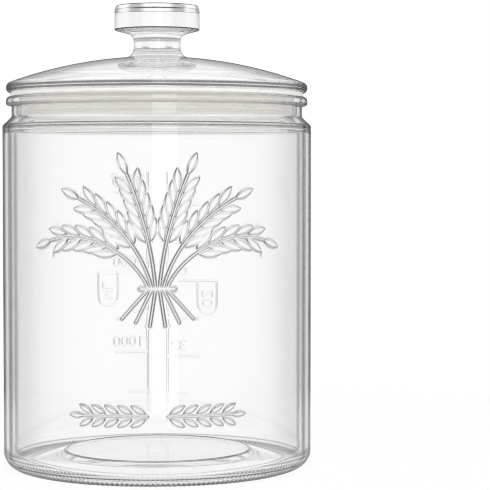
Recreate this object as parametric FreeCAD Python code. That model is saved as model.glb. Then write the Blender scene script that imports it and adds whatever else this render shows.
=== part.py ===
import FreeCAD, Part
import math
import os

from FreeCAD import Vector

# A pressed-glass storage jar with a domed glass lid and a soft seal ring.
# Sizes are in millimetres. The jar stands on z = 0, its axis is Z and its scale faces +Y.

# Jar body
jar_height = 204.1
body_dia = 170.0
body_wall = 3.5
heel_round = 9.0
bearing_width = 8.0
push_up = 3.4
push_up_ramp = 14.0
floor_thick = 6.0
floor_flat_dia = 102.0
floor_edge_round = 1.5
floor_fall = 8.4
floor_corner_round = 8.0
shoulder_step = 5.0
shoulder_rise = 4.8
shoulder_round = 2.0
shoulder_inner_round = 4.0
neck_height = 11.2
neck_wall = 4.3
neck_foot_round = 1.5
neck_inner_round = 5.0
rim_bead = 3.0
rim_height = 5.0
rim_top_round = 2.4
rim_under_round = 1.4
rim_lip_round = 0.8

# Moulded scale on the back of the jar
mark_height = 0.6
mark_width = 1.8
bar_spacing = 12.0
bar_foot_gap = 10.8
bar_top_gap = 25.4
tick_long = 20.0
tick_short = 11.5
tick_tagged = 32.0
tag_width = 13.7
tag_depth = 20.8
tag_line = 1.2
litre_cube = 100.0
half_litre_share = 0.5
pint_share = 0.473176
tagged_tick = 4

# Seal ring
fit_gap = 0.3
flange_thick = 2.0
flange_setback = 2.3
flange_round = 0.7
sleeve_wall = 1.5
sleeve_depth = 13.3
fin_reach = 1.7
fin_root = 1.5
fin_tip_round = 0.3
fin_count = 4

# Lid
plug_wall = 3.5
plug_depth = 16.5
plug_round = 1.2
lid_under_round = 2.5
lid_edge_round = 3.0
lid_wall = 4.5
lid_inner_round = 4.0
dome_radius = 234.0
dome_rise = 20.2
stem_dia = 25.8
stem_length = 11.8
stem_foot_round = 5.8
stem_head_round = 4.2
knob_dia = 46.8
knob_side = 13.4
knob_under_rise = 2.8
knob_bevel = 0.8
knob_bevel_rise = 2.4
knob_edge_round = 0.8

# The most of a side that a rounded corner may take, with a round and with a sharp corner at its far end
corner_limit_share = 0.48
sharp_limit_share = 0.9

# Radii and levels that several pieces share
body_r = body_dia / 2
inner_r = body_r - body_wall
neck_r = body_r - shoulder_step
bore_r = neck_r - neck_wall
rim_r = neck_r + rim_bead
floor_flat_r = floor_flat_dia / 2
floor_z = push_up + floor_thick
neck_foot_z = jar_height - neck_height
shoulder_z = neck_foot_z - shoulder_rise
sleeve_r = bore_r - fit_gap - fin_reach
seal_bore_r = sleeve_r - sleeve_wall
plug_r = seal_bore_r - fit_gap
seat_z = jar_height + flange_thick
apex_z = seat_z + dome_rise


def line(start, end):
    return Part.LineSegment(start, end).toShape()


def arc(start, middle, end):
    return Part.Arc(start, middle, end).toShape()


def side_room(corners, at, far):
    """How far the rounding of one corner may reach along its side towards the next."""
    length = math.dist(corners[at][:2], corners[far][:2])
    return length * (corner_limit_share if corners[far][2] else sharp_limit_share)


def chain(corners):
    """Edges along (r, z, round) corners in the XZ plane, with each inner corner rounded."""
    places = [Vector(r, 0, z) for r, z, _ in corners]
    edges = []
    last = places[0]
    for i in range(1, len(corners) - 1):
        corner = places[i]
        radius = corners[i][2]
        if radius == 0:
            edges.append(line(last, corner))
            last = corner
            continue
        back = places[i - 1] - corner
        ahead = places[i + 1] - corner
        half_angle = back.getAngle(ahead) / 2
        room = min(side_room(corners, i, i - 1), side_room(corners, i, i + 1))
        tangent = min(radius / math.tan(half_angle), room)
        radius = tangent * math.tan(half_angle)
        back.normalize()
        ahead.normalize()
        inward = back + ahead
        inward.normalize()
        start = corner + back * tangent
        end = corner + ahead * tangent
        middle = corner + inward * (radius / math.sin(half_angle) - radius)
        edges.append(line(last, start))
        edges.append(arc(start, middle, end))
        last = end
    edges.append(line(last, places[-1]))
    return edges


def turned(edges):
    """The solid that a closed outline in the XZ plane sweeps round the Z axis."""
    face = Part.Face(Part.Wire(edges))
    solid = face.revolve(Vector(0, 0, 0), Vector(0, 0, 1), 360)
    if solid.Volume < 0:
        solid.reverse()
    return solid


def on_circle(centre, towards, radius):
    """The point of a circle that lies from its centre towards another point."""
    ray = towards - centre
    ray.normalize()
    return centre + ray * radius


def blend(start, end, centre, radius):
    """The short arc of a rounding, from one tangent point to the other."""
    middle = on_circle(centre, (start + end) * 0.5, radius)
    return arc(start, middle, end)


def jar_shell():
    """The jar without its scale: raised base, wall, shoulder, neck and beaded rim."""
    slope = shoulder_rise / shoulder_step
    slope_drop = neck_wall * math.hypot(1, slope)
    inner_shoulder_z = shoulder_z + body_wall * slope - slope_drop
    inner_neck_z = shoulder_z + (body_r - bore_r) * slope - slope_drop
    bearing_r = body_r - heel_round - bearing_width
    corners = [
        (0, push_up, 0),
        (bearing_r - push_up_ramp, push_up, push_up_ramp),
        (bearing_r, 0, push_up),
        (body_r, 0, heel_round),
        (body_r, shoulder_z, shoulder_round),
        (neck_r, neck_foot_z, neck_foot_round),
        (neck_r, jar_height - rim_height, rim_lip_round),
        (rim_r, jar_height - rim_height, rim_under_round),
        (rim_r, jar_height, rim_top_round),
        (bore_r, jar_height, rim_lip_round),
        (bore_r, inner_neck_z, neck_inner_round),
        (inner_r, inner_shoulder_z, shoulder_inner_round),
        (inner_r, floor_z - floor_fall, floor_corner_round),
        (floor_flat_r, floor_z, floor_edge_round),
        (0, floor_z, 0),
        (0, push_up, 0),
    ]
    return turned(chain(corners))


def level(volume):
    """The height that a volume reaches: the ring round the raised floor is deeper, its corner filled."""
    bore_area = math.pi * inner_r ** 2
    slope = floor_fall / (inner_r - floor_flat_r)
    cubes = (inner_r ** 3 - floor_flat_r ** 3) / 3
    squares = (inner_r ** 2 - floor_flat_r ** 2) / 2
    ring = 2 * math.pi * slope * (cubes - floor_flat_r * squares)
    corner_angle = math.pi / 2 - math.atan(slope)
    corner_area = floor_corner_round ** 2 * (1 / math.tan(corner_angle / 2) - (math.pi - corner_angle) / 2)
    corner_fill = corner_area * 2 * math.pi * inner_r
    return floor_z + (volume - ring + corner_fill) / bore_area


def block(x_low, x_high, z_low, z_high):
    """A block from the axis out through the back wall."""
    reach = 2 * body_r
    return Part.makeBox(x_high - x_low, reach, z_high - z_low, Vector(x_low, 0, z_low))


def tag(x_low, z_top):
    """The hanging frame of a unit tag, with a round lower end, from the axis out."""

    def plate(half_width):
        middle_x = x_low + tag_width / 2
        round_z = z_top - tag_depth + tag_width / 2
        left = Vector(middle_x - half_width, 0, round_z)
        right = Vector(middle_x + half_width, 0, round_z)
        lowest = Vector(middle_x, 0, round_z - half_width)
        top_left = Vector(left.x, 0, z_top)
        top_right = Vector(right.x, 0, z_top)
        edges = [
            line(top_left, left),
            arc(left, lowest, right),
            line(right, top_right),
            line(top_right, top_left),
        ]
        return Part.Face(Part.Wire(edges)).extrude(Vector(0, 2 * body_r, 0))

    return plate(tag_width / 2).cut(plate(tag_width / 2 - tag_line))


def scale_marks():
    """Two upright bars, with volume ticks outward from each and a tag on one tick a side."""
    bar_low = floor_z + bar_foot_gap
    bar_high = shoulder_z - bar_top_gap
    half = mark_width / 2
    litre = litre_cube ** 3
    blocks = []
    for side, step_share in ((-1, half_litre_share), (1, pint_share)):
        bar_x = side * bar_spacing / 2
        blocks.append(block(bar_x - half, bar_x + half, bar_low, bar_high))
        tick = 1
        while level(tick * step_share * litre) + half < bar_high:
            tick_z = level(tick * step_share * litre)
            length = tick_short if tick % 2 else tick_long
            if tick == tagged_tick:
                length = tick_tagged
            x_low, x_high = sorted((bar_x, bar_x + side * length))
            blocks.append(block(x_low, x_high, tick_z - half, tick_z + half))
            if tick == tagged_tick:
                blocks.append(tag(x_low if side < 0 else x_high - tag_width, tick_z))
            tick += 1
    outer = Part.makeCylinder(body_r + mark_height, jar_height)
    inner = Part.makeCylinder(body_r - body_wall / 2, jar_height)
    shell = outer.cut(inner)
    return [shell.common(each) for each in blocks]


def jar_body():
    jar = jar_shell().fuse(scale_marks())
    return jar.removeSplitter()


def lid_seal():
    """A flange between the rims, and a finned sleeve that hangs in the neck."""
    sleeve_low = jar_height - sleeve_depth
    fin_pitch = sleeve_depth / (fin_count + 1)
    flange_r = rim_r - flange_setback
    corners = [
        (seal_bore_r, seat_z, 0),
        (seal_bore_r, sleeve_low, 0),
        (sleeve_r, sleeve_low, 0),
    ]
    for fin in range(1, fin_count + 1):
        fin_z = sleeve_low + fin * fin_pitch
        corners.append((sleeve_r, fin_z - fin_root / 2, 0))
        corners.append((sleeve_r + fin_reach, fin_z, fin_tip_round))
        corners.append((sleeve_r, fin_z + fin_root / 2, 0))
    corners += [
        (sleeve_r, jar_height, 0),
        (flange_r, jar_height, flange_round),
        (flange_r, seat_z, flange_round),
        (seal_bore_r, seat_z, 0),
    ]
    return turned(chain(corners))


def lid():
    """Plug, rim, dome, stem and disc knob, pressed in one piece."""
    centre = Vector(0, 0, apex_z - dome_radius)
    under_radius = dome_radius - lid_wall
    plug_inner_r = plug_r - plug_wall
    stem_r = stem_dia / 2
    knob_r = knob_dia / 2
    knob_low = apex_z + stem_length
    knob_top = knob_low + knob_under_rise + knob_side
    plug_low = seat_z - plug_depth

    def round_centre(r, reach):
        return Vector(r, 0, centre.z + math.sqrt(reach ** 2 - r ** 2))

    inner = round_centre(plug_inner_r - lid_inner_round, under_radius - lid_inner_round)
    edge = round_centre(rim_r - lid_edge_round, dome_radius - lid_edge_round)
    foot = round_centre(stem_r + stem_foot_round, dome_radius + stem_foot_round)
    under_apex = Vector(0, 0, apex_z - lid_wall)
    under_end = on_circle(centre, inner, under_radius)
    plug_start = Vector(plug_inner_r, 0, inner.z)
    edge_start = Vector(rim_r, 0, edge.z)
    dome_start = on_circle(centre, edge, dome_radius)
    dome_end = on_circle(centre, foot, dome_radius)
    stem_start = Vector(stem_r, 0, foot.z)
    plug_and_rim = [
        (plug_inner_r, inner.z, 0),
        (plug_inner_r, plug_low, plug_round),
        (plug_r, plug_low, plug_round),
        (plug_r, seat_z, 0),
        (rim_r, seat_z, lid_under_round),
        (rim_r, edge.z, 0),
    ]
    stem_and_knob = [
        (stem_r, foot.z, 0),
        (stem_r, knob_low, stem_head_round),
        (knob_r, knob_low + knob_under_rise, knob_edge_round),
        (knob_r, knob_top - knob_bevel_rise, knob_edge_round),
        (knob_r - knob_bevel, knob_top, knob_edge_round),
        (0, knob_top, 0),
        (0, under_apex.z, 0),
    ]
    edges = [
        blend(under_apex, under_end, centre, under_radius),
        blend(under_end, plug_start, inner, lid_inner_round),
        *chain(plug_and_rim),
        blend(edge_start, dome_start, edge, lid_edge_round),
        blend(dome_start, dome_end, centre, dome_radius),
        blend(dome_end, stem_start, foot, stem_foot_round),
        *chain(stem_and_knob),
    ]
    return turned(edges)


nodes = {"jar_body": jar_body, "lid_seal": lid_seal, "lid": lid}

os.makedirs("parts", exist_ok=True)
for name, make in nodes.items():
    make().exportStep(f"parts/{name}.step")
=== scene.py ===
import math

import bpy
import numpy as np
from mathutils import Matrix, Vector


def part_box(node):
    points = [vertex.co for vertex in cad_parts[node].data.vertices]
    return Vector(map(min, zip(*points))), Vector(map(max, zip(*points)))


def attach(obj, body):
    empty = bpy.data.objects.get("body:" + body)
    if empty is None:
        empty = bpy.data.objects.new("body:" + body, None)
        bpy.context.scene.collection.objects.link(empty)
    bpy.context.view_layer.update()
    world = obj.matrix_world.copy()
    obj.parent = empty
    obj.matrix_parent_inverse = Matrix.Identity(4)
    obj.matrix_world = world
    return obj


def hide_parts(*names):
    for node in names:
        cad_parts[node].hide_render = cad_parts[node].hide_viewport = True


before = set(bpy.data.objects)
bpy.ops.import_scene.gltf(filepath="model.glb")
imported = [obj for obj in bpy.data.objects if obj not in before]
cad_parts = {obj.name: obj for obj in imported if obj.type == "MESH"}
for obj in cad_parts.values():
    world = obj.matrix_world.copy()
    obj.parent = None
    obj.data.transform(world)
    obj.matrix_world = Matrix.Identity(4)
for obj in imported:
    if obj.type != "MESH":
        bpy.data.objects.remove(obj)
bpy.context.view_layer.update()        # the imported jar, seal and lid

# A clear pressed-glass jar with a domed glass lid and a soft seal ring, on a white studio floor.
# Lengths are in metres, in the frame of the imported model: z = 0 is the floor, the scale faces +Y.

jar_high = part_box("jar_body")[1]
seal_low, seal_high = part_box("lid_seal")
lid_low, lid_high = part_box("lid")

# Jar body
BODY_R = jar_high.x
JAR_TOP = jar_high.z
BODY_WALL = 0.0035
HEEL_ROUND = 0.009
BEARING_WIDTH = 0.008
PUSH_UP = 0.0034
PUSH_UP_RAMP = 0.014
FLOOR_THICK = 0.006
FLOOR_FLAT_R = 0.051
FLOOR_FALL = 0.0084
RIDGE_HEIGHT = 0.0005
RIDGE_HALF = 0.0012
RIDGE_ROUND = 0.0005
FLOOR_CORNER_ROUND = 0.008
SHOULDER_STEP = 0.005
SHOULDER_RISE = 0.0048
SHOULDER_ROUND = 0.002
SHOULDER_INNER_ROUND = 0.004
NECK_HEIGHT = 0.0112
NECK_WALL = 0.0043
NECK_FOOT_ROUND = 0.0015
NECK_INNER_ROUND = 0.005
RIM_BEAD = 0.003
RIM_HEIGHT = 0.005
RIM_TOP_ROUND = 0.0024
RIM_UNDER_ROUND = 0.0014
RIM_LIP_ROUND = 0.0008

# Moulded scale on the back
MARK_HEIGHT = 0.0005
MARK_WIDTH = 0.0018
MARK_RAMP = 0.0009
BAR_SPACING = 0.012
BAR_FOOT_GAP = 0.0108
BAR_TOP_GAP = 0.0254
TICK_LONG = 0.020
TICK_SHORT = 0.0115
TICK_TAGGED = 0.032
TAG_WIDTH = 0.0137
TAG_DEPTH = 0.0208
TAG_LINE = 0.0012
TAGGED_TICK = 4
DIGIT_HEIGHT = 0.006
DIGIT_WIDTH_SHARE = 0.6
DIGIT_PITCH = 0.0050
DIGIT_LINE = 0.0012
DIGIT_GAP = 0.0028
DIGIT_LIFT = 0.0035
UNIT_PITCH_SHARE = 1.15
LITRE = 0.001
HALF_LITRE_SHARE = 0.5
PINT_SHARE = 0.473176
# The side of the bars, the share of a litre in each step, the number that a step adds, and the unit
SCALES = (
    (1, HALF_LITRE_SHARE, 500, "ML"),
    (-1, PINT_SHARE, 16, "OZ"),
)

# Moulded sheaf of wheat on the front: leans and splays in radians, spreads in metres for each radian
SHEAF_TIE = 0.103
SHEAF_LENGTH = 0.060
SHEAF_FOOT = 0.020
SHEAF_LEANS = np.radians((-66, -40, -14, 14, 40, 66))
TIE_SPREAD = 0.004
FOOT_SPREAD = 0.016
FOOT_RISE = 0.004
STALK_WIDTH = 0.0022
STALK_POINTS = 25
STALK_FOOT_LEAN_SHARE = 0.35
EAR_SPAN_SHARES = (0.50, 0.93)
EAR_PAIRS = 5
GRAIN_LENGTH = 0.0125
GRAIN_WIDTH = 0.0062
GRAIN_HEIGHT = 0.0008
GRAIN_SET_OUT_SHARE = 0.62
GRAIN_SPLAY = 0.42
GRAIN_TIP_SHARE = 0.02
GRAIN_RAMP_SHARE = 0.8
BAND_HALF = 0.0085
BAND_WIDTH = 2 * STALK_WIDTH
BAND_HEIGHT = 1.2 * GRAIN_HEIGHT

# Sprig of grain on each side near the base, with places across from the middle
SPRIG_Z = 0.0375
SPRIG_STALK = (0.005, 0.040)
SPRIG_STALK_WIDTH = 0.7 * STALK_WIDTH
SPRIG_GRAINS = (0.010, 0.038)
SPRIG_PAIRS = 5
SPRIG_TIP = 0.0435
SPRIG_SET_OUT = 0.0034
SPRIG_SPLAY = 0.5
SPRIG_GRAIN_LENGTH = 0.0088
SPRIG_GRAIN_WIDTH = 0.0044

# Knurled ring that the jar stands on, and the fine groove above it, in degrees up the heel
KNURL_DEPTH = 0.0008
KNURL_TOP = 0.0030
KNURL_SEGMENTS = 6
KNURL_START_RINGS = 3
KNURL_SLANT_SHARE = 0.7
# Least painted shade on the knurl, between its grooves
KNURL_SHADE = 0.4
FOOT_LINE_SPAN = (55.0, 66.0)
FOOT_LINE_DEPTH = 0.0004

# Seal ring
FIT_GAP = 0.0003
FLANGE_SETBACK = 0.0023
FLANGE_ROUND = 0.0007
SEAT_GAP = 0.0001
SLEEVE_WALL = 0.0015
FIN_REACH = 0.0017
FIN_ROOT = 0.0015
FIN_TIP_ROUND = 0.0003
FIN_COUNT = 4

# Lid
PLUG_WALL = 0.0035
PLUG_ROUND = 0.0012
LID_UNDER_ROUND = 0.0025
LID_EDGE_ROUND = 0.003
LID_WALL = 0.0045
LID_INNER_ROUND = 0.004
DOME_RADIUS = 0.234
DOME_RISE = 0.0202
STEM_R = 0.0129
STEM_LENGTH = 0.0118
STEM_FOOT_ROUND = 0.0058
STEM_HEAD_ROUND = 0.0042
KNOB_R = 0.0234
KNOB_UNDER_RISE = 0.0028
KNOB_BEVEL = 0.0008
KNOB_BEVEL_RISE = 0.0024
KNOB_EDGE_ROUND = 0.0008

# How finely the turned shapes are cut
COLUMNS = 192
WALL_ROWS = 48
WALL_START_GAP = 0.002
CELL_PARTS = 8
RELIEF_TOLERANCE = 0.00004
ARC_STEP = math.radians(9)
DOME_POINTS = 25
ELLIPSE_STEPS = 18
END_STRIP = 0.0004
SHORT_RUN = 4 * END_STRIP
SAME_POINT = END_STRIP / 100
CORNER_LIMIT_SHARE = 0.48
SHARP_LIMIT_SHARE = 0.9

# Curvatures, in 1/m, between which the painted shade at a bend in the glass goes from none to a dark line
JAR_SHADE_CURVES = (600.0, 2600.0)
LID_SHADE_CURVES = (900.0, 1250.0)
# Slopes at which the painted shade on moulded forms is at full strength, and the share of that shade when
# they are seen from inside the glass
MARK_SHADE_SLOPE = 2.0
ORNAMENT_SHADE_SLOPE = 1.5
INSIDE_RELIEF_SHADE_SHARE = 0.3
# Painted dark lines along chosen edges: how far they reach from the edge, and how dark they are, from 0 to
# 1
SHOULDER_SHADE_REACH = 0.00035
SHOULDER_SHADE_SHARE = 0.75
MOUTH_SHADE_SHARE = 0.3
RIDGE_SHADE_SHARE = 0.55
FOOT_SHADE_SHARE = 0.6
RIM_SHADE_REACH = 0.0006
RIM_SHADE_SHARE = 0.7
KNOB_SHADE_SHARE = 0.5
STEM_SHADE_REACH = 0.0006
STEM_SHADE_SHARE = 0.4

# Radii and levels that several pieces share
inner_r = BODY_R - BODY_WALL
neck_r = BODY_R - SHOULDER_STEP
bore_r = neck_r - NECK_WALL
rim_r = neck_r + RIM_BEAD
floor_z = PUSH_UP + FLOOR_THICK
neck_foot_z = JAR_TOP - NECK_HEIGHT
shoulder_z = neck_foot_z - SHOULDER_RISE
sleeve_r = bore_r - FIT_GAP - FIN_REACH
seal_bore_r = sleeve_r - SLEEVE_WALL
plug_r = seal_bore_r - FIT_GAP
seat_z = seal_high.z
apex_z = seat_z + DOME_RISE


# Outlines to turn round the Z axis, as points in the (r, z) plane

def arc_points(centre, radius, start, end):
    """Points of an arc, from one angle to another."""
    count = max(2, math.ceil(abs(end - start) / ARC_STEP))
    angles = np.linspace(start, end, count + 1)
    return [(centre[0] + radius * math.cos(a), centre[1] + radius * math.sin(a)) for a in angles]


def dome_points(centre_z, radius, start, end):
    """Points of a dome's wide arc about a centre on the axis, none of them past the axis."""
    angles = np.linspace(start, end, DOME_POINTS)
    return [(max(0, radius * math.cos(a)), centre_z + radius * math.sin(a)) for a in angles]


def run_points(start, end):
    """Points of a straight run, with a narrow strip at each end to keep its shading flat."""
    start = np.array(start)
    end = np.array(end)
    length = float(np.linalg.norm(end - start))
    if length < SHORT_RUN:
        return [tuple(start), tuple(end)]
    step = (end - start) / length * END_STRIP
    return [tuple(start), tuple(start + step), tuple(end - step), tuple(end)]


def side_room(corners, at, far):
    """How far the rounding of one corner may reach along its side towards the next."""
    length = math.dist(corners[at][:2], corners[far][:2])
    return length * (CORNER_LIMIT_SHARE if corners[far][2] else SHARP_LIMIT_SHARE)


def outline(corners):
    """Points along (r, z, round) corners, with each inner corner rounded."""
    places = [np.array(corner[:2]) for corner in corners]
    points = []
    last = places[0]
    for i in range(1, len(corners) - 1):
        corner = places[i]
        radius = corners[i][2]
        if radius == 0:
            points += run_points(last, corner)
            last = corner
            continue
        back = places[i - 1] - corner
        ahead = places[i + 1] - corner
        back = back / np.linalg.norm(back)
        ahead = ahead / np.linalg.norm(ahead)
        half_angle = math.acos(float(np.clip(back @ ahead, -1, 1))) / 2
        room = min(side_room(corners, i, i - 1), side_room(corners, i, i + 1))
        tangent = min(radius / math.tan(half_angle), room)
        radius = tangent * math.tan(half_angle)
        inward = (back + ahead) / np.linalg.norm(back + ahead)
        centre = corner + inward * radius / math.sin(half_angle)
        first = corner + back * tangent - centre
        final = corner + ahead * tangent - centre
        start = math.atan2(first[1], first[0])
        turn = math.atan2(first[0] * final[1] - first[1] * final[0], float(first @ final))
        points += run_points(last, centre + first)
        points += arc_points(centre, radius, start, start + turn)
        last = centre + final
    return points + run_points(last, places[-1])


def without_repeats(points):
    """An outline without the points that lie on the one before."""
    kept = [points[0]]
    for point in points[1:]:
        if math.dist(point, kept[-1]) > SAME_POINT:
            kept.append(point)
    return kept


def bend_shade_shares(points, span):
    """How sharply an outline bends at each of its points, from 0 to 1 over a span of curvatures: the
    strength of the painted shade there.
    """
    points = np.array(points)
    steps = np.diff(points, axis=0)
    lengths = np.hypot(steps[:, 0], steps[:, 1])
    ways = np.arctan2(steps[:, 1], steps[:, 0])
    turns = np.abs((np.diff(ways) + math.pi) % (2 * math.pi) - math.pi)
    curves = 2 * turns / (lengths[1:] + lengths[:-1])
    shares = np.clip((curves - span[0]) / (span[1] - span[0]), 0, 1)
    return [0.0, *shares, 0.0]


class Skin:
    """A closed mesh that grows by rings round the Z axis."""

    def __init__(self, bend_shade_span):
        self.bend_shade_span = bend_shade_span
        self.points = []
        self.bend_shades = []
        self.reliefs = []
        self.faces = []

    def add(self, places, bend_shade=0.0, relief=0.0):
        """Points with the strength of the painted shade from how sharply the surface bends there and from
        how steep its relief is, from 0 to 1.
        """
        first = len(self.points)
        self.points += [tuple(place) for place in places]
        count = len(self.points) - first
        self.bend_shades += np.broadcast_to(bend_shade, count).tolist()
        self.reliefs += np.broadcast_to(relief, count).tolist()
        return np.arange(first, first + count)

    def ring(self, r, z, columns=COLUMNS, bend_shade=0.0):
        """Points round the axis, with one radius and height or with one for each column."""
        turn = np.arange(columns) * 2 * math.pi / columns
        r = np.broadcast_to(r, columns)
        z = np.broadcast_to(z, columns)
        return self.add(zip(r * np.cos(turn), r * np.sin(turn), z), bend_shade)

    def pole(self, z):
        """One point on the axis."""
        return self.add([(0, 0, z)])

    def bridge(self, lower, upper):
        """Faces between two neighbours of an outline: rings, or a ring and a pole."""
        if len(lower) == 1:
            self.faces += [(lower[0], b, a) for a, b in zip(upper, np.roll(upper, -1))]
        elif len(upper) == 1:
            self.faces += [(a, b, upper[0]) for a, b in zip(lower, np.roll(lower, -1))]
        elif len(lower) == len(upper):
            self.faces += zip(lower, np.roll(lower, -1), np.roll(upper, -1), upper)
        else:
            self.widen(lower, upper)

    def widen(self, lower, upper):
        """Triangles between two rings, one of which has several columns for each of the other's."""
        fine, coarse = (lower, upper) if len(lower) > len(upper) else (upper, lower)
        parts = len(fine) // len(coarse)
        half = parts // 2
        for i, near in enumerate(coarse):
            far = coarse[(i + 1) % len(coarse)]
            edge = [fine[(i * parts + j) % len(fine)] for j in range(parts + 1)]
            triangles = [(edge[j], edge[j + 1], near) for j in range(half)]
            triangles.append((edge[half], far, near))
            triangles += [(edge[j], edge[j + 1], far) for j in range(half, parts)]
            if fine is upper:
                triangles = [face[::-1] for face in triangles]
            self.faces += triangles

    def turn(self, points, last=None, shade_lines=()):
        """Rings for an outline, joined in turn, with painted dark lines as (place, reach, share)."""
        for (r, z), bend_shade in zip(points, bend_shade_shares(points, self.bend_shade_span)):
            for place, reach, share in shade_lines:
                if math.dist((r, z), place) < reach:
                    bend_shade = max(bend_shade, share)
            ring = self.pole(z) if r < SAME_POINT else self.ring(r, z, bend_shade=bend_shade)
            if last is not None:
                self.bridge(last, ring)
            last = ring
        return last

    def piece(self, name, material, body, node):
        """The finished object, which stands for a CAD node and rides on its body."""
        mesh = bpy.data.meshes.new(name)
        mesh.from_pydata(self.points, [], [tuple(int(v) for v in face) for face in self.faces])
        mesh.update()
        mesh.shade_smooth()
        # Painted shade at bends and on relief slopes, stored on the points for the glass material to darken
        # by
        for label, values in (("bend_shade", self.bend_shades), ("relief", self.reliefs)):
            attribute = mesh.attributes.new(label, "FLOAT", "POINT")
            attribute.data.foreach_set("value", values)
        mesh.materials.append(material)
        obj = bpy.data.objects.new(name, mesh)
        bpy.context.scene.collection.objects.link(obj)
        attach(obj, body)
        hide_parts(node)


# Relief: heights over a lattice of columns and rows on the straight part of the wall

wall_low = HEEL_ROUND + WALL_START_GAP
wall_high = shoulder_z - SHOULDER_ROUND
lattice_turn = np.arange(COLUMNS * CELL_PARTS) * 2 * math.pi / (COLUMNS * CELL_PARTS)
lattice_z = np.linspace(wall_low, wall_high, WALL_ROWS * CELL_PARTS + 1)
BACK = math.pi / 2
FRONT = -math.pi / 2


def smooth(share):
    """A share from 0 to 1, eased at both ends."""
    share = np.clip(share, 0, 1)
    return share * share * (3 - 2 * share)


class Relief:
    """Low moulded forms, in (across, up) places seen from outside on one side of the wall."""

    def __init__(self):
        self.heights = np.zeros((len(lattice_z), len(lattice_turn)))

    def window(self, facing, low, high):
        """The part of the lattice between two corners, and its places across and up."""
        across = (lattice_turn - facing + math.pi) % (2 * math.pi) - math.pi
        across = across * BODY_R
        columns = np.where((across >= low[0]) & (across <= high[0]))[0]
        rows = np.where((lattice_z >= low[1]) & (lattice_z <= high[1]))[0]
        u, v = np.meshgrid(across[columns], lattice_z[rows])
        return np.ix_(rows, columns), u, v

    def lift(self, place, height):
        self.heights[place] = np.maximum(self.heights[place], height)

    def slopes(self):
        return np.hypot(*np.gradient(self.heights, lattice_z, lattice_turn * BODY_R))

    def line(self, facing, points, width, height=MARK_HEIGHT, ramp=MARK_RAMP):
        """A rounded rib along a line of points."""
        points = np.array(points)
        half = width / 2
        place, u, v = self.window(facing, points.min(0) - half, points.max(0) + half)
        nearest = np.full(u.shape, np.inf)
        for (u0, v0), (u1, v1) in zip(points[:-1], points[1:]):
            du = u1 - u0
            dv = v1 - v0
            along = np.clip(((u - u0) * du + (v - v0) * dv) / (du * du + dv * dv), 0, 1)
            nearest = np.minimum(nearest, np.hypot(u - u0 - along * du, v - v0 - along * dv))
        self.lift(place, height * smooth((half - nearest) / min(ramp, half)))

    def grain(self, facing, centre, angle, length, width, height):
        """A plump pointed grain, lying at an angle."""
        reach = np.array([length, length]) / 2
        centre = np.array(centre)
        place, u, v = self.window(facing, centre - reach, centre + reach)
        along = ((u - centre[0]) * math.cos(angle) + (v - centre[1]) * math.sin(angle)) * 2 / length
        aside = ((v - centre[1]) * math.cos(angle) - (u - centre[0]) * math.sin(angle)) * 2 / width
        room = np.clip(1 - along * along, 0, 1)
        inside = 1 - np.abs(aside) / np.maximum(room, GRAIN_TIP_SHARE)
        self.lift(place, height * smooth(inside / GRAIN_RAMP_SHARE) * (room > GRAIN_TIP_SHARE))


def ellipse(centre, size, start, end, steps=ELLIPSE_STEPS):
    """Points of a stretch of an ellipse, from one angle to another in degrees."""
    angles = np.radians(np.linspace(start, end, steps + 1))
    return [(centre[0] + size[0] * math.cos(a), centre[1] + size[1] * math.sin(a)) for a in angles]


# Plain numerals and letters as lines in a box 1 high
SIX = [
    ellipse((0.30, 0.30), (0.30, 0.30), 0, 360),
    ellipse((0.62, 0.30), (0.62, 0.70), 180, 112, 8),
]
GLYPHS = {
    "0": [ellipse((0.30, 0.50), (0.30, 0.50), 0, 360)],
    "1": [[(0.08, 0.78), (0.34, 1.0), (0.34, 0.0)]],
    "2": [ellipse((0.30, 0.70), (0.29, 0.30), 165, -40, 12) + [(0.0, 0.0), (0.60, 0.0)]],
    "3": [
        ellipse((0.28, 0.75), (0.27, 0.25), 150, -90, 10),
        ellipse((0.28, 0.26), (0.31, 0.26), 90, -150, 10),
    ],
    "4": [[(0.46, 0.0), (0.46, 1.0), (0.0, 0.30), (0.62, 0.30)]],
    "6": SIX,
    "9": [[(0.60 - x, 1.0 - y) for x, y in line] for line in SIX],
    "M": [[(0.0, 0.0), (0.0, 1.0), (0.36, 0.30), (0.72, 1.0), (0.72, 0.0)]],
    "L": [[(0.08, 1.0), (0.08, 0.0), (0.56, 0.0)]],
    "O": [ellipse((0.34, 0.50), (0.34, 0.50), 0, 360)],
    "Z": [[(0.02, 1.0), (0.58, 1.0), (0.0, 0.0), (0.60, 0.0)]],
}


def level(volume):
    """The height that a volume reaches: the ring round the raised floor is deeper, its corner filled."""
    bore_area = math.pi * inner_r ** 2
    slope = FLOOR_FALL / (inner_r - FLOOR_FLAT_R)
    cubes = (inner_r ** 3 - FLOOR_FLAT_R ** 3) / 3
    squares = (inner_r ** 2 - FLOOR_FLAT_R ** 2) / 2
    ring = 2 * math.pi * slope * (cubes - FLOOR_FLAT_R * squares)
    corner_angle = math.pi / 2 - math.atan(slope)
    corner_share = 1 / math.tan(corner_angle / 2) - (math.pi - corner_angle) / 2
    corner_fill = FLOOR_CORNER_ROUND ** 2 * corner_share * 2 * math.pi * inner_r
    return floor_z + (volume - ring + corner_fill) / bore_area


def write(relief, text, start, height, pitch, turn=0):
    """Numerals or letters from a start point, read along a direction."""
    right = np.array([math.cos(turn), math.sin(turn)])
    up = np.array([-math.sin(turn), math.cos(turn)])
    for i, letter in enumerate(text):
        for line in GLYPHS[letter]:
            points = [start + right * (i * pitch + x * height) + up * y * height for x, y in line]
            relief.line(BACK, points, DIGIT_LINE)


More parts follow.
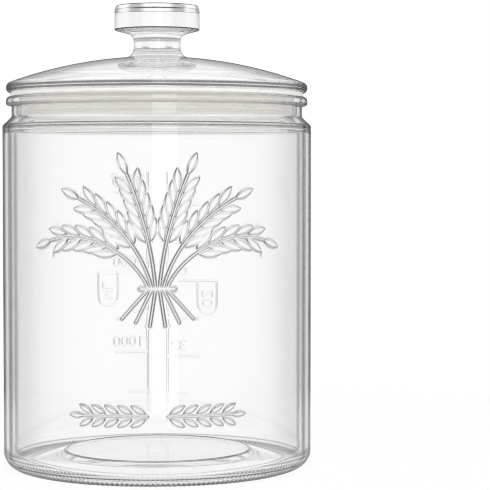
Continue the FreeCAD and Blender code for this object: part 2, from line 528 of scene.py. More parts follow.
def scale_marks(relief):
    """Two upright bars, with volume ticks outward from each and a unit tag on one tick a side."""
    bar_low = floor_z + BAR_FOOT_GAP
    bar_high = shoulder_z - BAR_TOP_GAP
    for side, step_share, step_number, unit in SCALES:
        bar_x = side * BAR_SPACING / 2
        relief.line(BACK, [(bar_x, bar_low), (bar_x, bar_high)], MARK_WIDTH)
        tick = 1
        while level(tick * step_share * LITRE) + MARK_WIDTH / 2 < bar_high:
            tick_z = level(tick * step_share * LITRE)
            length = TICK_SHORT if tick % 2 else TICK_LONG
            if tick == TAGGED_TICK:
                length = TICK_TAGGED
                tag(relief, bar_x + side * (length - TAG_WIDTH / 2), tick_z, unit)
            relief.line(BACK, [(bar_x, tick_z), (bar_x + side * length, tick_z)], MARK_WIDTH)
            if tick % 2 == 0:
                text = str(tick * step_number)
                width = (len(text) - 1) * DIGIT_PITCH + DIGIT_WIDTH_SHARE * DIGIT_HEIGHT
                start = bar_x + side * DIGIT_GAP - (width if side < 0 else 0)
                write(relief, text, np.array([start, tick_z + DIGIT_LIFT]), DIGIT_HEIGHT, DIGIT_PITCH)
            tick += 1


def tag(relief, middle, top, unit):
    """A hanging tag with a round lower end, with the unit written upwards in it."""
    half = TAG_WIDTH / 2 - TAG_LINE / 2
    round_z = top - TAG_DEPTH + TAG_WIDTH / 2
    bowl = ellipse((middle, round_z), (half, half), 180, 360)
    relief.line(BACK, [(middle - half, top), *bowl, (middle + half, top)], TAG_LINE)
    length = len(unit) * DIGIT_PITCH
    start = np.array([middle + DIGIT_HEIGHT / 2, top - TAG_DEPTH / 2 - length / 2])
    write(relief, unit, start, DIGIT_HEIGHT, DIGIT_PITCH * UNIT_PITCH_SHARE, math.pi / 2)


def wheat_ear(relief, foot, lean, length):
    """An ear of wheat on a bowed stalk that leans from upright: pairs of grains and one at the tip."""
    foot = np.array(foot)
    bow_share = 1 - STALK_FOOT_LEAN_SHARE

    def at(t):
        bow = lean * (STALK_FOOT_LEAN_SHARE + bow_share * t)
        place = foot + t * length * np.array([math.sin(bow), math.cos(bow)])
        return place, math.pi / 2 - lean * (STALK_FOOT_LEAN_SHARE + 2 * bow_share * t)

    stalk = [at(t)[0] for t in np.linspace(0, 1, STALK_POINTS)]
    relief.line(FRONT, stalk, STALK_WIDTH, GRAIN_HEIGHT)
    for t in np.linspace(*EAR_SPAN_SHARES, EAR_PAIRS):
        place, angle = at(t)
        for side in (1, -1):
            out = angle + side * math.pi / 2
            centre = place + GRAIN_WIDTH * GRAIN_SET_OUT_SHARE * np.array([math.cos(out), math.sin(out)])
            splayed = angle + side * GRAIN_SPLAY
            relief.grain(FRONT, centre, splayed, GRAIN_LENGTH, GRAIN_WIDTH, GRAIN_HEIGHT)
    place, angle = at(1)
    tip = place + GRAIN_LENGTH / 2 * np.array([math.cos(angle), math.sin(angle)])
    relief.grain(FRONT, tip, angle, GRAIN_LENGTH, GRAIN_WIDTH, GRAIN_HEIGHT)


def sheaf(relief):
    """A fan of wheat, tied with a band."""
    for lean in SHEAF_LEANS:
        tie = (lean * TIE_SPREAD, SHEAF_TIE)
        wheat_ear(relief, tie, lean, SHEAF_LENGTH)
        foot = (lean * FOOT_SPREAD, SHEAF_TIE - SHEAF_FOOT + abs(lean) * FOOT_RISE)
        relief.line(FRONT, [tie, foot], STALK_WIDTH, GRAIN_HEIGHT)
    band = [(-BAND_HALF, SHEAF_TIE), (BAND_HALF, SHEAF_TIE)]
    relief.line(FRONT, band, BAND_WIDTH, BAND_HEIGHT, STALK_WIDTH)


def sprig(relief, side):
    """Pairs of grains along a level stalk, and one at its tip."""
    stalk = [(side * x, SPRIG_Z) for x in SPRIG_STALK]
    relief.line(FRONT, stalk, SPRIG_STALK_WIDTH, GRAIN_HEIGHT)
    grain_size = (SPRIG_GRAIN_LENGTH, SPRIG_GRAIN_WIDTH, GRAIN_HEIGHT)
    for x in np.linspace(*SPRIG_GRAINS, SPRIG_PAIRS):
        for up in (1, -1):
            splay = up * SPRIG_SPLAY
            angle = splay if side > 0 else math.pi - splay
            relief.grain(FRONT, (side * x, SPRIG_Z + up * SPRIG_SET_OUT), angle, *grain_size)
    relief.grain(FRONT, (side * SPRIG_TIP, SPRIG_Z), 0.0, *grain_size)


def leaves_patch(heights, row, column, size):
    """Whether the relief leaves the smooth patch between a cell's four corners."""
    block = np.take(heights[row:row + size + 1], range(column, column + size + 1), axis=1, mode="wrap")
    share = np.linspace(0, 1, size + 1)
    left = block[0, 0] + (block[-1, 0] - block[0, 0]) * share
    right = block[0, -1] + (block[-1, -1] - block[0, -1]) * share
    patch = left[:, None] + (right - left)[:, None] * share
    return np.abs(block - patch).max() > RELIEF_TOLERANCE


def cut_cell(heights, row, column, size):
    """A square cell as (row, column, size), or its quarters, cut in turn, where the relief needs them."""
    if size == 1 or not leaves_patch(heights, row, column, size):
        return [(row, column, size)]
    half = size // 2
    cells = []
    for quarter_row in (row, row + half):
        for quarter_column in (column, column + half):
            cells += cut_cell(heights, quarter_row, quarter_column, half)
    return cells


def cell_edge(row, column, size, columns):
    """The lattice places round a cell's edge, in order."""
    span = range(size)
    places = [(row, (column + i) % columns) for i in span]
    places += [(row + i, (column + size) % columns) for i in span]
    places += [(row + size, (column + size - i) % columns) for i in span]
    places += [(row + size - i, column) for i in span]
    return places


def wall_with_relief(skin, heights, shade):
    """The straight wall as cells, cut finer where the relief is. Gives its lowest and highest ring."""
    rows, columns = heights.shape
    cells = []
    for row in range(0, rows - 1, CELL_PARTS):
        for column in range(0, columns, CELL_PARTS):
            cells += cut_cell(heights, row, column, CELL_PARTS)
    used = np.zeros((rows, columns), bool)
    for row, column, size in cells:
        used[np.ix_((row, row + size), (column, (column + size) % columns))] = True
    # A cell with points of finer neighbours on its edge gets a hub in its middle
    hubs = []
    loops = []
    for row, column, size in cells:
        loop = [place for place in cell_edge(row, column, size, columns) if used[place]]
        loops.append(loop)
        hubs.append((row + size // 2, column + size // 2) if len(loop) > 4 else None)
    for hub in hubs:
        if hub:
            used[hub] = True
    number = np.full((rows, columns), -1)
    places = np.argwhere(used)
    r = BODY_R + heights[used]
    turn = lattice_turn[places[:, 1]]
    points = zip(r * np.cos(turn), r * np.sin(turn), lattice_z[places[:, 0]])
    # Each point carries the painted shade of the relief there
    number[used] = skin.add(points, relief=shade[used])
    for loop, hub in zip(loops, hubs):
        ids = [number[place] for place in loop]
        if hub is None:
            skin.faces.append(tuple(ids))
        else:
            centre = number[hub]
            skin.faces += [(centre, a, b) for a, b in zip(ids, ids[1:] + ids[:1])]
    return number[0, ::CELL_PARTS], number[-1, ::CELL_PARTS]


# The three pieces

def knurled_heel(skin, points, last):
    """The lower heel and bearing ring, cut by even grooves with painted shade in them, with finer columns
    than the rest.
    """
    columns = COLUMNS * KNURL_SEGMENTS
    wave = (1 + np.cos(np.arange(columns) * 2 * math.pi / KNURL_SEGMENTS)) / 2
    for i, (r, z) in enumerate(points):
        fade_out = smooth((KNURL_TOP - z) / (KNURL_TOP / 2)) * smooth(i / KNURL_START_RINGS)
        depth = KNURL_SLANT_SHARE * (KNURL_DEPTH * fade_out * wave)
        # Painted shade over the knurl, darkest in its grooves
        bend_shade = fade_out * (KNURL_SHADE + (1 - KNURL_SHADE) * wave)
        ring = skin.ring(r - depth, z + depth, columns, bend_shade)
        skin.bridge(last, ring)
        last = ring
    return last


def foot_line_place():
    """The bottom of the fine groove round the heel."""
    turn = math.radians(sum(FOOT_LINE_SPAN) / 2)
    r = HEEL_ROUND - FOOT_LINE_DEPTH
    return BODY_R - HEEL_ROUND + r * math.sin(turn), HEEL_ROUND - r * math.cos(turn)


def jar_outlines():
    """The jar's outline in three runs: under the base, the heel, and from the shoulder to the floor."""
    slope = SHOULDER_RISE / SHOULDER_STEP
    slope_drop = NECK_WALL * math.hypot(1, slope)
    inner_shoulder_z = shoulder_z + BODY_WALL * slope - slope_drop
    inner_neck_z = shoulder_z + (BODY_R - bore_r) * slope - slope_drop
    bearing_r = BODY_R - HEEL_ROUND - BEARING_WIDTH
    floor_slope = FLOOR_FALL / (inner_r - FLOOR_FLAT_R)
    under = outline([
        (0, PUSH_UP, 0),
        (bearing_r - PUSH_UP_RAMP, PUSH_UP, PUSH_UP_RAMP),
        (bearing_r, 0, PUSH_UP),
        (bearing_r + BEARING_WIDTH / 2, 0, 0),
    ])
    heel_centre = (BODY_R - HEEL_ROUND, HEEL_ROUND)
    foot_end, line_end = (math.radians(turn) - math.pi / 2 for turn in FOOT_LINE_SPAN)
    heel = [(BODY_R - HEEL_ROUND - BEARING_WIDTH / 4, 0)]
    heel += arc_points(heel_centre, HEEL_ROUND, -math.pi / 2, foot_end)
    heel += [foot_line_place()]
    heel += arc_points(heel_centre, HEEL_ROUND, line_end, 0)
    above = outline([
        (BODY_R, wall_high, 0),
        (BODY_R, shoulder_z, SHOULDER_ROUND),
        (neck_r, neck_foot_z, NECK_FOOT_ROUND),
        (neck_r, JAR_TOP - RIM_HEIGHT, RIM_LIP_ROUND),
        (rim_r, JAR_TOP - RIM_HEIGHT, RIM_UNDER_ROUND),
        (rim_r, JAR_TOP, RIM_TOP_ROUND),
        (bore_r, JAR_TOP, RIM_LIP_ROUND),
        (bore_r, inner_neck_z, NECK_INNER_ROUND),
        (inner_r, inner_shoulder_z, SHOULDER_INNER_ROUND),
        (inner_r, floor_z - FLOOR_FALL, FLOOR_CORNER_ROUND),
        (FLOOR_FLAT_R + RIDGE_HALF, floor_z - RIDGE_HALF * floor_slope, RIDGE_ROUND),
        (FLOOR_FLAT_R, floor_z + RIDGE_HEIGHT, RIDGE_ROUND),
        (FLOOR_FLAT_R - RIDGE_HALF, floor_z, RIDGE_ROUND),
        (0, floor_z, 0),
    ])
    return without_repeats(under), without_repeats(heel), without_repeats(above)


def make_jar(material):
    """The jar, with its knurled foot, its scale and its ornament."""
    marks = Relief()
    scale_marks(marks)
    wheat = Relief()
    sheaf(wheat)
    for side in (1, -1):
        sprig(wheat, side)
    under, heel, above = jar_outlines()
    skin = Skin(JAR_SHADE_CURVES)
    last = skin.turn(under)
    knurl_count = sum(z <= KNURL_TOP for _, z in heel) + 1
    last = knurled_heel(skin, heel[:knurl_count], last)
    groove_width = HEEL_ROUND * math.radians(FOOT_LINE_SPAN[1] - FOOT_LINE_SPAN[0])
    foot_shade_line = (foot_line_place(), groove_width / 3, FOOT_SHADE_SHARE)
    last = skin.turn(heel[knurl_count:], last, shade_lines=[foot_shade_line])
    heights = np.maximum(marks.heights, wheat.heights)
    # Painted shade on the moulded forms, darker where their slopes are steeper
    shade = marks.slopes() / MARK_SHADE_SLOPE + wheat.slopes() / ORNAMENT_SHADE_SLOPE
    wall_bottom, wall_top = wall_with_relief(skin, heights, np.clip(shade, 0, 1))
    skin.bridge(last, wall_bottom)
    # Where the painted dark lines run, in parts of the rounds that they follow
    set_in = SHOULDER_ROUND / 5
    shoulder_foot = (BODY_R, shoulder_z - SHOULDER_ROUND / 2)
    shoulder_edge = (BODY_R - set_in, shoulder_z + set_in)
    mouth_edge = (rim_r - RIM_TOP_ROUND / 10, JAR_TOP - RIM_TOP_ROUND / 2)
    skin.turn(above[1:], wall_top, shade_lines=[
        (shoulder_foot, SHOULDER_SHADE_REACH, SHOULDER_SHADE_SHARE),
        (shoulder_edge, SHOULDER_SHADE_REACH, SHOULDER_SHADE_SHARE),
        (mouth_edge, RIM_SHADE_REACH, MOUTH_SHADE_SHARE),
        ((FLOOR_FLAT_R, floor_z), RIDGE_HALF, RIDGE_SHADE_SHARE),
    ])
    skin.piece("glass_jar", material, "jar", "jar_body")


def make_seal(material):
    """The seal: a flange between the two rims, and a finned sleeve in the neck."""
    sleeve_low = seal_low.z
    fin_pitch = (JAR_TOP - sleeve_low) / (FIN_COUNT + 1)
    flange_r = rim_r - FLANGE_SETBACK
    flange_top = seat_z - SEAT_GAP
    flange_foot = JAR_TOP + SEAT_GAP
    corners = [
        (seal_bore_r, flange_top, 0),
        (seal_bore_r, sleeve_low, 0),
        (sleeve_r, sleeve_low, 0),
    ]
    for fin in range(1, FIN_COUNT + 1):
        fin_z = sleeve_low + fin * fin_pitch
        corners.append((sleeve_r, fin_z - FIN_ROOT / 2, 0))
        corners.append((sleeve_r + FIN_REACH, fin_z, FIN_TIP_ROUND))
        corners.append((sleeve_r, fin_z + FIN_ROOT / 2, 0))
    corners += [
        (sleeve_r, flange_foot, 0),
        (flange_r, flange_foot, FLANGE_ROUND),
        (flange_r, flange_top, FLANGE_ROUND),
        (seal_bore_r, flange_top, 0),
    ]
    points = without_repeats(outline(corners))
    skin = Skin(JAR_SHADE_CURVES)
    first = skin.ring(*points[0])
    last = skin.turn(points[1:-1], first)
    skin.bridge(last, first)
    skin.piece("silicone_seal", material, "seal", "lid_seal")


def make_lid(material):
    """The lid, from under its dome round the plug, over the rim and up the stem to the knob."""
    centre_z = apex_z - DOME_RADIUS
    under_radius = DOME_RADIUS - LID_WALL
    plug_inner_r = plug_r - PLUG_WALL
    knob_low = apex_z + STEM_LENGTH
    knob_top = lid_high.z

    def round_centre(r, reach):
        return (r, centre_z + math.sqrt(reach ** 2 - r ** 2))

    def way(place):
        return math.atan2(place[1] - centre_z, place[0])

    inner = round_centre(plug_inner_r - LID_INNER_ROUND, under_radius - LID_INNER_ROUND)
    edge = round_centre(rim_r - LID_EDGE_ROUND, DOME_RADIUS - LID_EDGE_ROUND)
    foot = round_centre(STEM_R + STEM_FOOT_ROUND, DOME_RADIUS + STEM_FOOT_ROUND)
    points = dome_points(centre_z, under_radius, math.pi / 2, way(inner))
    points += arc_points(inner, LID_INNER_ROUND, way(inner), 0)
    points += outline([
        (plug_inner_r, inner[1], 0),
        (plug_inner_r, lid_low.z, PLUG_ROUND),
        (plug_r, lid_low.z, PLUG_ROUND),
        (plug_r, seat_z, 0),
        (rim_r, seat_z, LID_UNDER_ROUND),
        (rim_r, edge[1], 0),
    ])
    points += arc_points(edge, LID_EDGE_ROUND, 0, way(edge))
    points += dome_points(centre_z, DOME_RADIUS, way(edge), way(foot))
    points += arc_points(foot, STEM_FOOT_ROUND, way(foot) - math.pi, -math.pi)
    points += outline([
        (STEM_R, foot[1], 0),
        (STEM_R, knob_low, STEM_HEAD_ROUND),
        (KNOB_R, knob_low + KNOB_UNDER_RISE, KNOB_EDGE_ROUND),
        (KNOB_R, knob_top - KNOB_BEVEL_RISE, KNOB_EDGE_ROUND),
        (KNOB_R - KNOB_BEVEL, knob_top, KNOB_EDGE_ROUND),
        (0, knob_top, 0),
    ])
    # Where the painted dark lines run, in parts of the rounds that they follow
    rim_under = (rim_r - LID_UNDER_ROUND / 7, seat_z + LID_UNDER_ROUND / 2)
    knob_under = (KNOB_R - 1.5 * KNOB_EDGE_ROUND, knob_low + 0.9 * KNOB_UNDER_RISE)
    stem_head = (STEM_R, knob_low - 0.6 * STEM_HEAD_ROUND)
    stem_foot = (STEM_R, foot[1] - STEM_FOOT_ROUND / 3)
    skin = Skin(LID_SHADE_CURVES)
    skin.turn(without_repeats(points), shade_lines=[
        ((rim_r, edge[1]), RIM_SHADE_REACH, RIM_SHADE_SHARE),
        (rim_under, RIM_SHADE_REACH, RIM_SHADE_SHARE),
        (knob_under, KNOB_EDGE_ROUND / 2, KNOB_SHADE_SHARE),
        (stem_head, STEM_SHADE_REACH, STEM_SHADE_SHARE),
        (stem_foot, STEM_SHADE_REACH, STEM_SHADE_SHARE),
    ])
    skin.piece("glass_lid", material, "lid", "lid")


# Materials

def new_material(name):
    """A material with its node tree and its main shader."""
    material = bpy.data.materials.new(name)
    material.use_nodes = True
    tree = material.node_tree
    return material, tree, tree.nodes["Principled BSDF"]


def add_node(tree, kind, **values):
    """A node with its settings, and its inputs by name with spaces written as underscores."""
    node = tree.nodes.new(kind)
    for key, value in values.items():
        if hasattr(node, key):
            setattr(node, key, value)
        else:
            node.inputs[key.replace("_", " ")].default_value = value
    return node


def math_node(tree, operation, a, b=None, c=None):
    """One step of arithmetic on up to three values, each a number or another node's output."""
    node = tree.nodes.new("ShaderNodeMath")
    node.operation = operation
    for socket, value in zip(node.inputs, (a, b, c)):
        if value is None:
            continue
        if isinstance(value, (int, float)):
            socket.default_value = value
        else:
            tree.links.new(value, socket)
    return node.outputs[0]


def split_node(tree, vector):
    """The X, Y and Z of a vector, by name."""
    node = tree.nodes.new("ShaderNodeSeparateXYZ")
    tree.links.new(vector, node.inputs[0])
    return node.outputs


def grey_ramp(tree, value, stops):
    """A value's grey level, from (value, level) stops."""
    ramp = tree.nodes.new("ShaderNodeValToRGB")
    elements = ramp.color_ramp.elements
    while len(elements) < len(stops):
        elements.new(0.5)
    for element, (position, grey) in zip(elements, stops):
        element.position = position
        element.color = (grey, grey, grey, 1)
    tree.links.new(value, ramp.inputs["Fac"])
    return ramp.outputs["Color"]


def map_range(tree, value, span, low, high, way="LINEAR"):
    """A value taken from a span to the levels at the ends of it."""
    node = add_node(tree, "ShaderNodeMapRange", interpolation_type=way, From_Min=span[0],
                    From_Max=span[1], To_Min=low, To_Max=high)
    tree.links.new(value, node.inputs["Value"])
    return node.outputs["Result"]


def fade(tree, value, span, low, high):
    """A smooth step of a value from one level to another."""
    return map_range(tree, value, span, low, high, "SMOOTHSTEP")


def noise(tree, scale, detail):
    """Noise that is fixed to the piece."""
    place = tree.nodes.new("ShaderNodeTexCoord").outputs["Object"]
    node = add_node(tree, "ShaderNodeTexNoise", Scale=scale, Detail=detail)
    tree.links.new(place, node.inputs["Vector"])
    return node.outputs["Fac"]


def add_bump(tree, shader, height, strength, distance):
    """Fine unevenness in the shading of a surface."""
    node = add_node(tree, "ShaderNodeBump", Strength=strength, Distance=distance)
    tree.links.new(height, node.inputs["Height"])
    tree.links.new(node.outputs["Normal"], shader.inputs["Normal"])


# Painted shade on the glass by the angle of the look, as the grey it lets through, from a square look, 0,
# to a glancing one, 1
JAR_PAINTED_SHADE = (
    (0.10, 1.0),
    (0.30, 0.96),
    (0.37, 0.92),
    (0.43, 0.87),
    (0.53, 0.79),
    (0.66, 0.80),
    (0.700, 0.24),
    (0.735, 0.20),
    (0.76, 0.75),
    (0.79, 0.80),
    (0.82, 0.35),
    (0.85, 0.05),
)
LID_PAINTED_SHADE = (
    (0.60, 1.0),
    (0.90, 0.95),
    (0.93, 0.50),
    (0.955, 0.05),
)
# Painted shade where its surface bends, as the grey it lets through, from flat, 0, to sharp, 1
BEND_PAINTED_SHADE = (
    (0.0, 1.0),
    (0.35, 0.45),
    (0.7, 0.12),
    (1.0, 0.02),
)
# Upward share of a normal, from walls to level faces, which are kept free of the painted glancing shade
LEVEL_SPAN = (0.80, 0.95)
GLASS_IOR = 1.52
HAZE_SCALE = 60.0
HAZE_DETAIL = 3.0
HAZE_SPAN = (0.35, 0.75)
HAZE_ROUGHNESS = 0.03
JAR_WAVE_SCALE = 22.0
LID_WAVE_SCALE = 30.0
WAVE_DETAIL = 1.0
WAVE_STRENGTH = 0.06
WAVE_HEIGHT = 0.002


def painted_glance_shade(tree, painted_shade_stops, walls_only):
    """Painted shade by the angle of the look, on all faces or only on upright ones."""
    facing = add_node(tree, "ShaderNodeLayerWeight", Blend=0.5).outputs["Facing"]
    glance_shade = grey_ramp(tree, facing, painted_shade_stops)
    if not walls_only:
        return glance_shade
    normal = tree.nodes.new("ShaderNodeNewGeometry").outputs["Normal"]
    upward = math_node(tree, "ABSOLUTE", split_node(tree, normal)["Z"])
    return math_node(tree, "MAXIMUM", glance_shade, fade(tree, upward, LEVEL_SPAN, 0.0, 1.0))


def painted_bend_shade(tree):
    """Painted shade where the surface bends and on the relief's slopes. Relief counts less from inside the
    glass.
    """
    bend_shade = add_node(tree, "ShaderNodeAttribute", attribute_name="bend_shade").outputs["Fac"]
    relief = add_node(tree, "ShaderNodeAttribute", attribute_name="relief").outputs["Fac"]
    inside = tree.nodes.new("ShaderNodeNewGeometry").outputs["Backfacing"]
    side_share = math_node(tree, "MULTIPLY_ADD", inside, INSIDE_RELIEF_SHADE_SHARE - 1.0, 1.0)
    return grey_ramp(tree, math_node(tree, "MULTIPLY_ADD", relief, side_share, bend_shade), BEND_PAINTED_SHADE)


def clear_glass(name, wave_scale, painted_shade_stops, walls_only):
    """Fire-polished pressed glass: slow waves, faint haze, and painted shade at bends and at a glancing
    look.
    """
    material, tree, shader = new_material(name)
    shader.inputs["Transmission Weight"].default_value = 1.0
    shader.inputs["IOR"].default_value = GLASS_IOR
    # The glass is tinted grey by its painted shade
    through = math_node(tree, "MULTIPLY", painted_glance_shade(tree, painted_shade_stops, walls_only), painted_bend_shade(tree))
    # Light on its way to a matt surface behind the glass, such as the seal, passes without the painted
    # shade
    scattered = tree.nodes.new("ShaderNodeLightPath").outputs["Diffuse Depth"]
    through = math_node(tree, "MAXIMUM", through, math_node(tree, "MINIMUM", scattered, 1.0))
    tree.links.new(through, shader.inputs["Base Color"])
    haze = noise(tree, HAZE_SCALE, HAZE_DETAIL)
    polish = map_range(tree, haze, HAZE_SPAN, 0.0, HAZE_ROUGHNESS)
    tree.links.new(polish, shader.inputs["Roughness"])
    add_bump(tree, shader, noise(tree, wave_scale, WAVE_DETAIL), WAVE_STRENGTH, WAVE_HEIGHT)
    return material


SILICONE_DARK = (0.80, 0.79, 0.75, 1)
SILICONE_PALE = (0.86, 0.853, 0.82, 1)
SILICONE_SATIN = (0.38, 0.52)
SILICONE_IOR = 1.41
SCATTER_WEIGHT = 0.35
SCATTER_RADIUS = (0.004, 0.0036, 0.003)
MOTTLE_SCALE = 90.0
MOTTLE_DETAIL = 4.0
TOOTH_SCALE = 1500.0
TOOTH_DETAIL = 2.0
TOOTH_STRENGTH = 0.15
TOOTH_HEIGHT = 0.0002


def silicone(name):
    """Cream silicone, faintly mottled and satin, with a fine tooth."""
    material, tree, shader = new_material(name)
    shader.inputs["Subsurface Weight"].default_value = SCATTER_WEIGHT
    shader.inputs["Subsurface Radius"].default_value = SCATTER_RADIUS
    shader.inputs["IOR"].default_value = SILICONE_IOR
    mottle = noise(tree, MOTTLE_SCALE, MOTTLE_DETAIL)
    colour = tree.nodes.new("ShaderNodeValToRGB")
    for element, shade in zip(colour.color_ramp.elements, (SILICONE_DARK, SILICONE_PALE)):
        element.color = shade
    tree.links.new(mottle, colour.inputs["Fac"])
    tree.links.new(colour.outputs["Color"], shader.inputs["Base Color"])
    tree.links.new(map_range(tree, mottle, (0.0, 1.0), *SILICONE_SATIN), shader.inputs["Roughness"])
    add_bump(tree, shader, noise(tree, TOOTH_SCALE, TOOTH_DETAIL), TOOTH_STRENGTH, TOOTH_HEIGHT)
    return material


# Studio, as it shows by way of the glass: levels are shares of plain white. The gaps between the panels
# follow a wave round the studio, and the other spans are in the upward share of a direction
PANELS = 8
GAP_SHAPE = (-0.9, 0.2)
LOW_GAP_LEVEL = 0.5
HIGH_GAP_LEVEL = 0.92
GAP_FADE = (0.01, 0.06)
DIM_BAND_LEVEL = 0.8
DIM_BAND_START = (0.10, 0.16)
DIM_BAND_END = (0.24, 0.34)
TOP_LEVEL = 0.65
TOP_FADE = (0.35, 0.80)
ROOM_LEVEL = 0.2
HIGH_ROOM_LEVEL = 1.0
HIGH_ROOM_FADE = (0.30, 0.50)

# Floor: clear of the jar it fades out, and it glows so that it is as white as the studio
FLOOR_CLEAR_R = 0.22
FLOOR_R = 0.45
FLOOR_COLOUR = 0.36
FLOOR_ROUGHNESS = 0.9
FLOOR_GLOW = 0.62
MIRRORED_GLOW = 0.12


def by_way_of_glass(tree):
    """Whether a ray looks through glass, whether at a mirror image in it, and if it was mirrored before."""
    path = tree.nodes.new("ShaderNodeLightPath").outputs
    through = path["Is Transmission Ray"]
    mirrored = math_node(tree, "SUBTRACT", path["Is Glossy Ray"], through)
    mirrored = math_node(tree, "MAXIMUM", mirrored, 0.0)
    looks = math_node(tree, "LESS_THAN", path["Diffuse Depth"], 0.5)
    looks_through = math_node(tree, "MULTIPLY", through, looks)
    looks_mirrored = math_node(tree, "MULTIPLY", mirrored, looks)
    mirrored_before = math_node(tree, "MINIMUM", path["Glossy Depth"], 1.0)
    return looks_through, looks_mirrored, mirrored_before


def studio_light(tree, way, mirrored_before):
    """The studio as it shows through glass: soft panels with gaps, a dim band above, and a dim ceiling."""
    turn = math_node(tree, "ARCTAN2", way["X"], way["Y"])
    wave = math_node(tree, "COSINE", math_node(tree, "MULTIPLY", turn, PANELS))
    panel = math_node(tree, "MAXIMUM", fade(tree, wave, GAP_SHAPE, 0.0, 1.0), mirrored_before)
    gap = fade(tree, way["Z"], GAP_FADE, LOW_GAP_LEVEL, HIGH_GAP_LEVEL)
    panels = math_node(tree, "MULTIPLY_ADD", panel, math_node(tree, "SUBTRACT", 1.0, gap), gap)
    top = fade(tree, way["Z"], TOP_FADE, 1.0, TOP_LEVEL)
    band_start = fade(tree, way["Z"], DIM_BAND_START, 1.0, DIM_BAND_LEVEL)
    band_end = fade(tree, way["Z"], DIM_BAND_END, DIM_BAND_LEVEL, 1.0)
    band = math_node(tree, "MAXIMUM", band_start, band_end)
    return math_node(tree, "MULTIPLY", math_node(tree, "MULTIPLY", panels, top), band)


def make_world():
    """Plain white light all round. Through the glass it shows the studio, and mirror images are dimmer."""
    world = bpy.data.worlds.new("studio")
    bpy.context.scene.world = world
    world.use_nodes = True
    tree = world.node_tree
    background = tree.nodes["Background"]
    way = split_node(tree, tree.nodes.new("ShaderNodeTexCoord").outputs["Generated"])
    through, mirrored, mirrored_before = by_way_of_glass(tree)
    plain = math_node(tree, "SUBTRACT", math_node(tree, "SUBTRACT", 1.0, through), mirrored)
    studio = studio_light(tree, way, mirrored_before)
    strength = math_node(tree, "MULTIPLY_ADD", through, studio, plain)
    room = fade(tree, way["Z"], HIGH_ROOM_FADE, ROOM_LEVEL, HIGH_ROOM_LEVEL)
    strength = math_node(tree, "MULTIPLY_ADD", mirrored, room, strength)
    background.inputs["Color"].default_value = (1, 1, 1, 1)
    tree.links.new(strength, background.inputs["Strength"])


def make_floor():
    """A white floor that keeps the jar's soft shadow and fades out into the white all round."""
    mesh = bpy.data.meshes.new("floor")
    signs = ((-1, -1), (1, -1), (1, 1), (-1, 1))
    corners = [(x * FLOOR_R, y * FLOOR_R, 0) for x, y in signs]
    mesh.from_pydata(corners, [], [(0, 1, 2, 3)])
    floor = bpy.data.objects.new("floor", mesh)
    bpy.context.scene.collection.objects.link(floor)
    material, tree, shader = new_material("white_floor")
    shader.inputs["Base Color"].default_value = (FLOOR_COLOUR, FLOOR_COLOUR, FLOOR_COLOUR, 1)
    shader.inputs["Roughness"].default_value = FLOOR_ROUGHNESS
    shader.inputs["Specular IOR Level"].default_value = 0.0
    shader.inputs["Emission Color"].default_value = (1, 1, 1, 1)
    mirrored = by_way_of_glass(tree)[1]
    glow = math_node(tree, "MULTIPLY_ADD", mirrored, MIRRORED_GLOW - FLOOR_GLOW, FLOOR_GLOW)
    tree.links.new(glow, shader.inputs["Emission Strength"])
    place = tree.nodes.new("ShaderNodeTexCoord").outputs["Object"]
    length = add_node(tree, "ShaderNodeVectorMath", operation="LENGTH")
    tree.links.new(place, length.inputs[0])
    gone = fade(tree, length.outputs["Value"], (FLOOR_CLEAR_R, FLOOR_R), 0.0, 1.0)
    mix = tree.nodes.new("ShaderNodeMixShader")
    clear = tree.nodes.new("ShaderNodeBsdfTransparent")
    tree.links.new(gone, mix.inputs["Fac"])
    tree.links.new(shader.outputs["BSDF"], mix.inputs[1])
    tree.links.new(clear.outputs["BSDF"], mix.inputs[2])
    tree.links.new(mix.outputs["Shader"], tree.nodes["Material Output"].inputs["Surface"])
    mesh.materials.append(material)


# A tall strip light beside the camera, for the bright streak down the front
STRIP_PLACE = (0.11, -1.15, 0.45)
STRIP_SIZE = (0.36, 1.1)
STRIP_POWER = 2.5


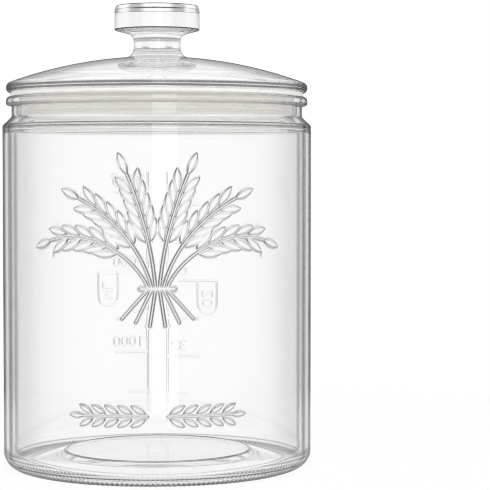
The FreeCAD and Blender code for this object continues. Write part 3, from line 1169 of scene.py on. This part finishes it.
def make_strip_light():
    lamp = bpy.data.lights.new("strip_light", "AREA")
    lamp.shape = "RECTANGLE"
    lamp.size, lamp.size_y = STRIP_SIZE
    lamp.energy = STRIP_POWER
    strip = bpy.data.objects.new("strip_light", lamp)
    bpy.context.scene.collection.objects.link(strip)
    strip.location = STRIP_PLACE
    strip.rotation_euler = (math.pi / 2, 0, 0)
    strip.visible_camera = False
    strip.visible_transmission = False


# Camera: level with the upper half of the jar, turned a little to set it left in the frame
FRAME_PIXELS = 490
FOCAL_PIXELS = 1881
AXIS_PIXEL_X = 157.4
HORIZON_PIXEL_Y = 173
SENSOR_MILLIMETRES = 36.0
CAMERA_BACK = 1.044
CAMERA_HEIGHT = 0.1622


def make_camera():
    data = bpy.data.cameras.new("camera")
    data.sensor_width = SENSOR_MILLIMETRES
    data.lens = SENSOR_MILLIMETRES * FOCAL_PIXELS / FRAME_PIXELS
    camera = bpy.data.objects.new("camera", data)
    bpy.context.scene.collection.objects.link(camera)
    middle = FRAME_PIXELS / 2
    yaw = math.atan((middle - AXIS_PIXEL_X) / FOCAL_PIXELS)
    pitch = math.atan((middle - HORIZON_PIXEL_Y) / FOCAL_PIXELS)
    camera.location = (0, -CAMERA_BACK, CAMERA_HEIGHT)
    camera.rotation_euler = (math.pi / 2 - pitch, 0, -yaw)
    bpy.context.scene.camera = camera


# How often light may bounce in the glass, and how many pixels a sample spreads over
ALL_BOUNCES = 48
GLASS_BOUNCES = 32
DIFFUSE_BOUNCES = 8
PIXEL_SPREAD = 1.0


def make_scene():
    make_jar(clear_glass("jar_glass", JAR_WAVE_SCALE, JAR_PAINTED_SHADE, walls_only=True))
    make_lid(clear_glass("lid_glass", LID_WAVE_SCALE, LID_PAINTED_SHADE, walls_only=False))
    make_seal(silicone("seal_silicone"))
    make_world()
    make_floor()
    make_strip_light()
    make_camera()
    scene = bpy.context.scene
    scene.view_settings.view_transform = "Standard"
    scene.cycles.max_bounces = ALL_BOUNCES
    scene.cycles.transmission_bounces = GLASS_BOUNCES
    scene.cycles.glossy_bounces = GLASS_BOUNCES
    scene.cycles.diffuse_bounces = DIFFUSE_BOUNCES
    scene.cycles.blur_glossy = 0.0
    scene.cycles.filter_width = PIXEL_SPREAD


make_scene()
